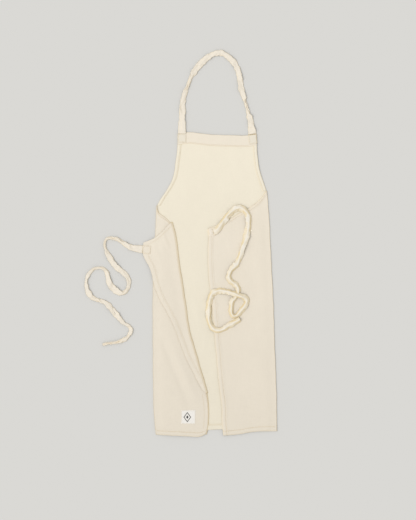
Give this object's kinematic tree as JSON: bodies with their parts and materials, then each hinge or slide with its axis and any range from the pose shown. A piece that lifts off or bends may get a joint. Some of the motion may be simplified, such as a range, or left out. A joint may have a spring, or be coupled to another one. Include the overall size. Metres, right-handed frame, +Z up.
{
  "type": "artist smock apron",
  "caption": "Cream cotton bib apron lying flat, its side panels folded in over the front, with a loose neck strap and waist ties.",
  "frame": {"origin": "on the surface it lies on, at the centre of the folded apron's outline without its free tapes", "axes": "+Y from the bottom hem to the bib, +Z up from the table, +X to the right as the open front is seen from above"},
  "size_m": [0.5773, 1.1534, 0.0174],
  "materials": {
    "cloth_inner_face": "matte plain weave",
    "cloth_outer_face": "matte plain weave",
    "turned_hem": "matte plain weave",
    "tape": "matte twill tape",
    "thread": "matte thread",
    "label": "matte woven label"
  },
  "bodies": {
    "front_body": {"front_panel": "cloth_inner_face", "bib_band": "turned_hem", "bib_band_stitching": "thread", "front_bottom_hem": "turned_hem", "left_bib_hem": "turned_hem", "right_bib_hem": "turned_hem", "strap_end_left": "tape", "strap_end_right": "tape", "strap_stitching_left": "thread", "strap_stitching_right": "thread", "left_fold_round": "cloth_outer_face", "right_fold_round": "cloth_outer_face"},
    "right_wing": {"right_panel": "cloth_outer_face", "right_armhole_hem": "turned_hem", "right_edge_hem": "turned_hem", "right_bottom_hem": "turned_hem", "right_tie_root": "tape", "right_tie_stitching": "thread", "right_tie": "tape"},
    "left_wing": {"left_panel": "cloth_outer_face", "left_armhole_hem": "turned_hem", "left_edge_hem": "turned_hem", "left_bottom_hem": "turned_hem", "label": "label", "label_stitching": "thread", "corner_fold_round": "cloth_inner_face"},
    "left_corner": {"corner_panel": "cloth_inner_face", "corner_armhole_hem": "turned_hem", "corner_edge_hem": "turned_hem", "left_tie_root": "tape", "left_tie_stitching": "thread", "left_tie": "tape"},
    "neck_loop": {"neck_strap": "tape"}
  },
  "joints": [
    {"name": "right_panel_fold", "type": "hinge", "parent": "front_body", "child": "right_wing", "pos_m": [0.183, 0, 0.00215], "axis": [-0.0429, 0.9991, 0], "range_deg": [0, 170], "deforming": ["right_fold_round"]},
    {"name": "left_panel_fold", "type": "hinge", "parent": "front_body", "child": "left_wing", "pos_m": [-0.169, 0, 0.00215], "axis": [0, -1, 0], "range_deg": [0, 165], "deforming": ["left_fold_round"]},
    {"name": "left_corner_turn", "type": "hinge", "parent": "left_wing", "child": "left_corner", "pos_m": [-0.077, 0, 0.00445], "axis": [-0.1874, 0.9823, 0], "range_deg": [0, 165], "deforming": ["corner_fold_round"]},
    {"name": "neck_loop_fold", "type": "hinge", "parent": "front_body", "child": "neck_loop", "pos_m": [0.021, 0.4545, 0.0065], "axis": [1, 0, 0], "range_deg": [0, 165]}
  ],
  "couplings": [
    {"joint": "left_corner_turn", "follows": "left_panel_fold", "ratio": 1}
  ]
}
